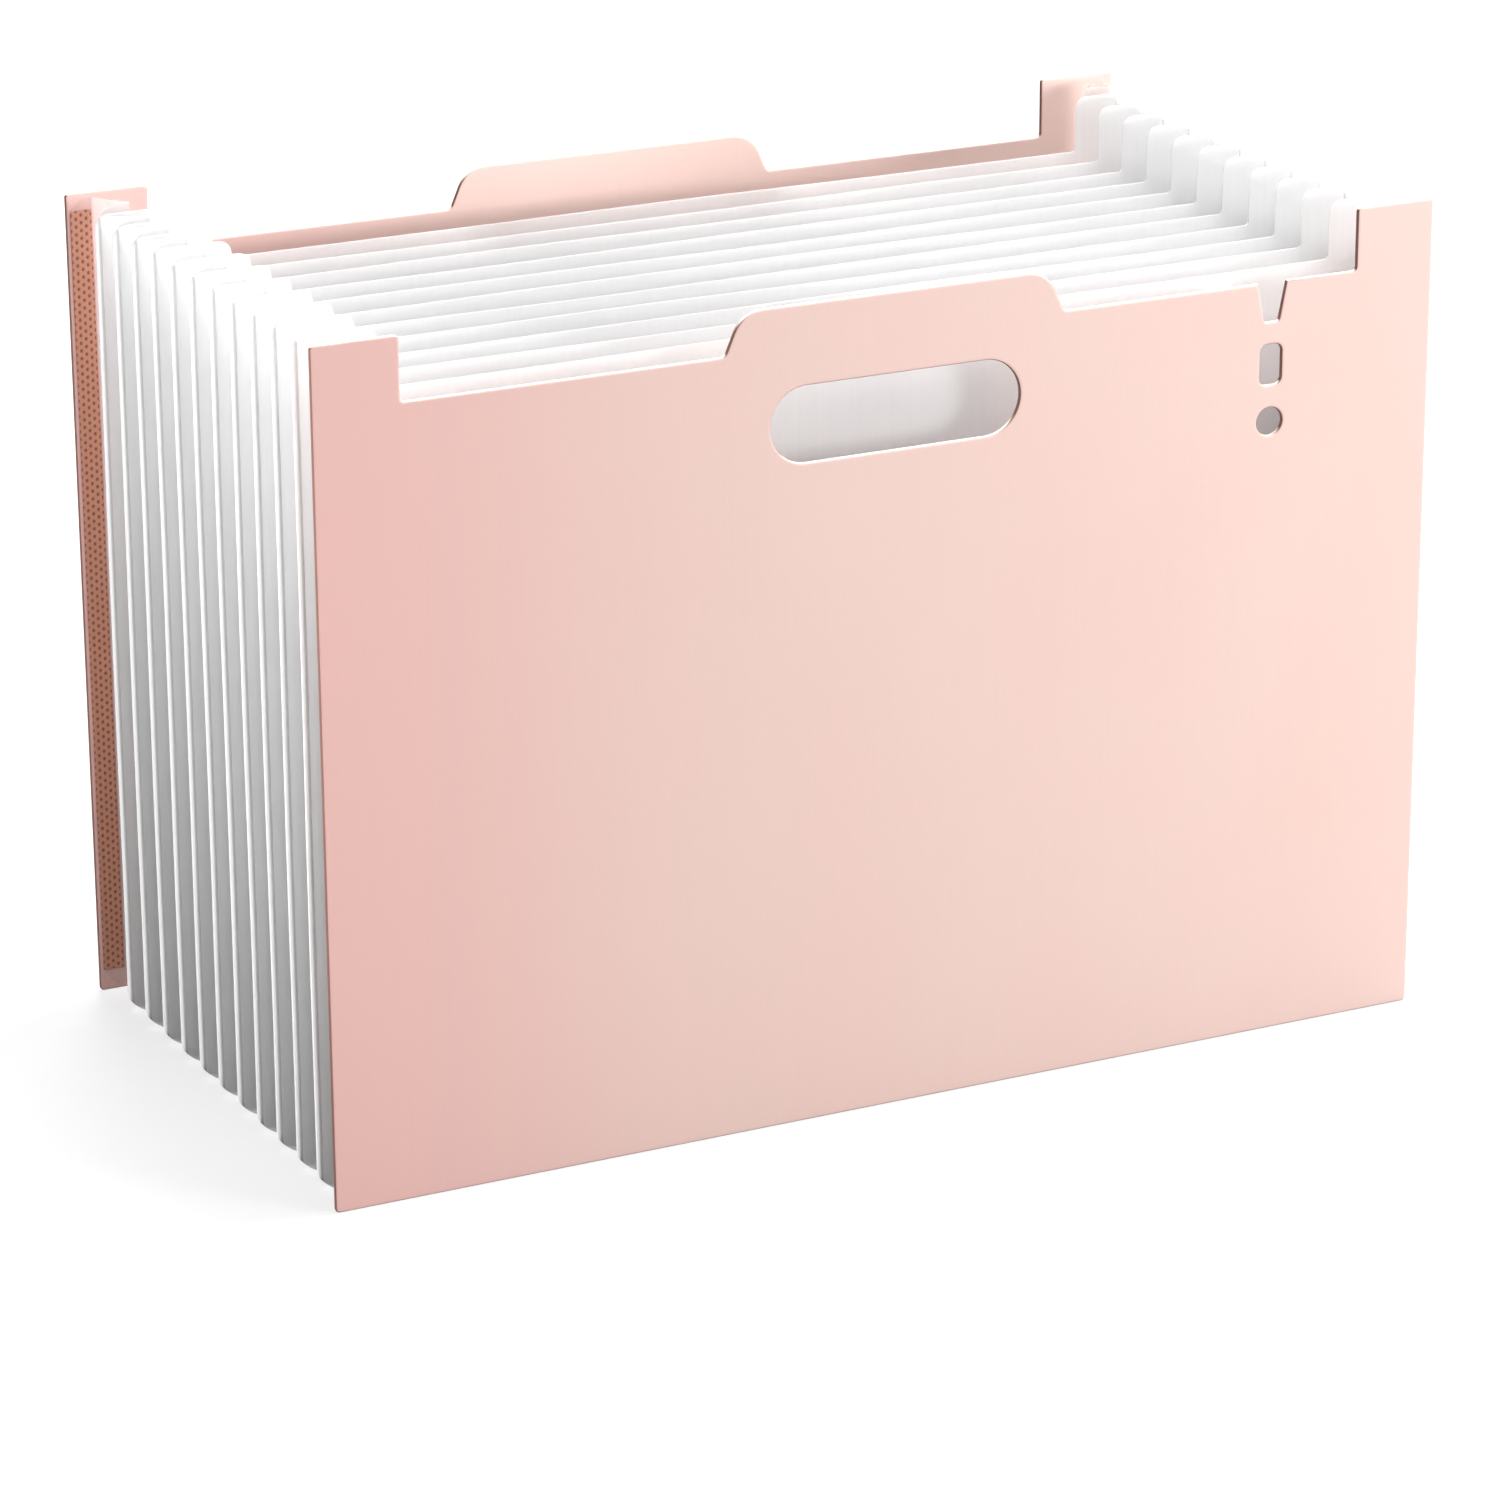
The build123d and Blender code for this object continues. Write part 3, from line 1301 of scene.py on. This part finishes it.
    def fused(self, distance: float) -> float:
        """Say how far the film has melted into a cover.

        Args:
            distance: distance from the front wall.

        Returns:
            1 where it has become one with the cover, and 0 where it is free.
        """
        front, rear = self.faces_of_walls()
        if self.pocket == 1:
            return 1 - ease(self.fuse_start, self.front_fuse, distance)
        if self.pocket == self.sizes.pocket_count:
            return 1 - ease(self.fuse_start, self.rear_fuse, rear - front - distance)
        return 0.0

    def dress(self, piece: bpy.types.Object, finish: bpy.types.Material) -> None:
        """Give the film its finish and bake its place into its points.

        Args:
            piece: what build made.
            finish: its material.
        """
        piece.data.materials.append(finish)
        front, rear = self.faces_of_walls()
        grip = self.rear_grip if self.pocket == self.sizes.pocket_count else self.grip
        self.sizes.body(self.pocket)
        self.sizes.body(self.pocket - 1)
        rear - grip
        front + grip
        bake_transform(piece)
        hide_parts(self.name)


class BandSide(Enum):
    """Which margin of a cover a weld band lies on."""

    LEFT = "left"
    RIGHT = "right"
    FOOT = "foot"


@dataclass
class WeldBand:
    """The knurled band that presses a film's margin on to the inside of a cover."""

    sizes: FolderSizes
    wall: int
    side: BandSide
    width: float = 5.9 * MM
    margin: float = 0.1 * MM
    knurl: Knurl = Knurl()
    grid_step: float = 0.3 * MM
    height: float = 0.14 * MM
    lift: float = 0.03 * MM
    sunk: float = 0.04 * MM

    def inner_face(self) -> tuple[float, float]:
        """Find the film that the band is pressed on.

        Returns:
            The depth of its face, and the way into the folder, 1 or -1.
        """
        into = 1.0 if self.wall == 0 else -1.0
        face = self.sizes.wall_depths()[self.wall] + into * self.sizes.wall_half(self.wall)
        return face + into * self.sizes.film_thickness, into

    def build(self) -> bpy.types.Object:
        """Build the band as a fine grid with a pit in every diamond.

        Returns:
            The band's object.
        """
        s = self.sizes
        step = self.grid_step
        if self.side is BandSide.FOOT:
            wide = (-s.floor_half + s.divider_foot, s.floor_half - s.divider_foot)
            tall = (s.divider_lift + self.margin, s.divider_lift + self.margin + self.width)
        else:
            wide = (s.film_edge - self.margin - self.width, s.film_edge - self.margin)
            tall = (s.divider_lift + s.divider_foot, s.film_top - s.divider_crown)
            if self.side is BandSide.LEFT:
                wide = (-wide[1], -wide[0])
        columns, rows = (round((end - start) / step) for start, end in (wide, tall))
        plan = [
            (wide[0] + column * step, tall[0] + row * step)
            for column in range(columns + 1) for row in range(rows + 1)
        ]
        face, into = self.inner_face()

        def base(_x: float, _z: float) -> float:
            """Sink the band's back slightly into the film."""
            return face - into * self.sunk

        def top(x: float, z: float) -> float:
            """Raise the pattern on the film."""
            return face + into * (self.lift + self.height * (1 - self.knurl.pit(x, z)))

        skins = (top, base) if into < 0 else (base, top)
        name = f"weld_band_{s.body(self.wall)}_{self.side.value}"
        return slab(name, plan, grid_faces(columns, rows), *skins)

    def dress(self, piece: bpy.types.Object, finish: bpy.types.Material) -> None:
        """Give the band its finish and let it ride on its cover.

        Args:
            piece: what build made.
            finish: its material.
        """
        piece.data.materials.append(finish)
        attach(piece, self.sizes.body(self.wall))


# The studio


@dataclass(frozen=True)
class Lamp:
    """One soft lamp."""

    name: str
    place: Triple
    aim: Triple
    size: float
    power: float

    def build(self) -> None:
        """Hang the lamp, pointed at its aim, out of the camera's sight."""
        data = bpy.data.lights.new(self.name, "AREA")
        data.shape = "DISK"
        data.size = self.size
        data.energy = self.power
        lamp = bpy.data.objects.new(self.name, data)
        lamp.location = self.place
        lamp.rotation_mode = "QUATERNION"
        lamp.rotation_quaternion = (Vector(self.aim) - Vector(self.place)).to_track_quat("-Z", "Y")
        lamp.visible_camera = False
        bpy.context.scene.collection.objects.link(lamp)


@dataclass
class Studio:
    """White floor, pale surroundings, soft lamps and the camera."""

    floor_half: float = 8.0
    ambient: float = 0.03
    lamps: tuple[Lamp, ...] = (
        Lamp("overhead_softbox", (0.40, 0.09, 1.20), (0.05, 0.0, 0.2), 0.6, 23.5),
        Lamp("high_softbox", (0.60, -0.60, 1.15), (0.05, 0.0, 0.15), 0.6, 3.2),
        Lamp("front_softbox", (1.0, -1.40, 0.34), (0.05, -0.05, 0.12), 0.5, 21.4),
        Lamp("side_softbox", (1.35, -0.20, 0.95), (-0.05, 0.0, 0.15), 1.0, 7.5),
        Lamp("back_softbox", (0.25, 0.90, 1.30), (0.05, 0.0, 0.2), 0.6, 10.2),
        Lamp("left_softbox", (-0.38, -0.095, 0.21), (-0.165, -0.13, 0.05), 0.12, 0.58),
        Lamp("rear_softbox", (0.30, 1.80, 0.55), (0.0, 0.0, 0.12), 1.0, 16.0),
    )
    camera_place: Triple = (-0.6821, -1.3798, 0.6176)
    camera_yaw: float = 26.32
    camera_pitch: float = 19.44
    camera_roll: float = -0.27
    camera_lens: float = 138.65
    camera_sensor: float = 36.0

    def floor(self) -> None:
        """Lay the floor and give it its finish."""
        h = self.floor_half
        corners = [(-h, -h, 0.0), (h, -h, 0.0), (h, h, 0.0), (-h, h, 0.0)]
        sheet = make_piece("studio_floor", corners, [[0, 1, 2, 3]])
        sheet.data.materials.append(StudioFloorFinish().make())

    def surroundings(self) -> None:
        """Make the surroundings white to look at and dim as a light."""
        world = bpy.data.worlds.new("studio_surroundings")
        world.use_nodes = True
        sheet = NodeSheet(world.node_tree)
        pure = (1.0, 1.0, 1.0, 1.0)
        dim, white = (
            sheet.node("ShaderNodeBackground", None, {"Color": pure, "Strength": strength})
            for strength in (self.ambient, 1.0)
        )
        light = sheet.node("ShaderNodeMixShader", None, {0: sheet.seen_rays(), 1: dim, 2: white})
        sheet.finish(light, "ShaderNodeOutputWorld")
        bpy.context.scene.world = world

    def camera(self) -> None:
        """Set the camera where the photograph was taken from."""
        turns = (self.camera_yaw, self.camera_pitch, self.camera_roll)
        yaw, pitch, roll = (math.radians(turn) for turn in turns)
        level = math.cos(pitch)
        ahead = Vector((math.sin(yaw) * level, math.cos(yaw) * level, -math.sin(pitch)))
        right = Vector((math.cos(yaw), -math.sin(yaw), 0.0))
        upward = right.cross(ahead)
        across = right * math.cos(roll) + upward * math.sin(roll)
        upright = upward * math.cos(roll) - right * math.sin(roll)
        data = bpy.data.cameras.new("photo_camera")
        data.sensor_width = self.camera_sensor
        data.lens = self.camera_lens
        camera = bpy.data.objects.new("photo_camera", data)
        turned = Matrix((across, upright, -ahead)).transposed().to_4x4()
        camera.matrix_world = Matrix.Translation(self.camera_place) @ turned
        bpy.context.scene.collection.objects.link(camera)
        bpy.context.scene.camera = camera

    def build(self) -> None:
        """Set up the whole studio."""
        self.floor()
        self.surroundings()
        for lamp in self.lamps:
            lamp.build()
        self.camera()
        bpy.context.scene.view_settings.view_transform = "Standard"


def main() -> None:
    """Build the folder piece by piece, then the studio."""
    logging.basicConfig(level=logging.INFO, format="%(name)s: %(message)s")
    sizes = FolderSizes()
    waves = SheetWaves(sizes)
    depths = sizes.wall_depths()
    last = sizes.pocket_count

    cover_finish = CoverSheetFinish().make()
    divider_finish = MilkyFilmFinish("divider_film_milky").make()
    film_finishes = {
        run: BellowsFilmFinish(f"{run.value}_film_milky", run=run).make() for run in FilmRun
    }
    band_finish = WeldBandFinish().make()

    parts = [
        (CoverPlate(sizes, sizes.body(wall), depths[wall], wall == 0), cover_finish)
        for wall in (0, last)
    ]
    parts += [(Divider(sizes, waves, wall), divider_finish) for wall in range(1, last)]
    parts += [
        (FoldedFilm(sizes, waves, pocket, run), film_finishes[run])
        for pocket in range(1, last + 1) for run in FilmRun
    ]
    parts += [(WeldBand(sizes, wall, side), band_finish) for wall in (0, last) for side in BandSide]
    for part, finish in parts:
        piece = part.build()
        part.dress(piece, finish)
        LOG.info("built %s", piece.name)

    Studio().build()


if __name__ == "__main__":
    main()
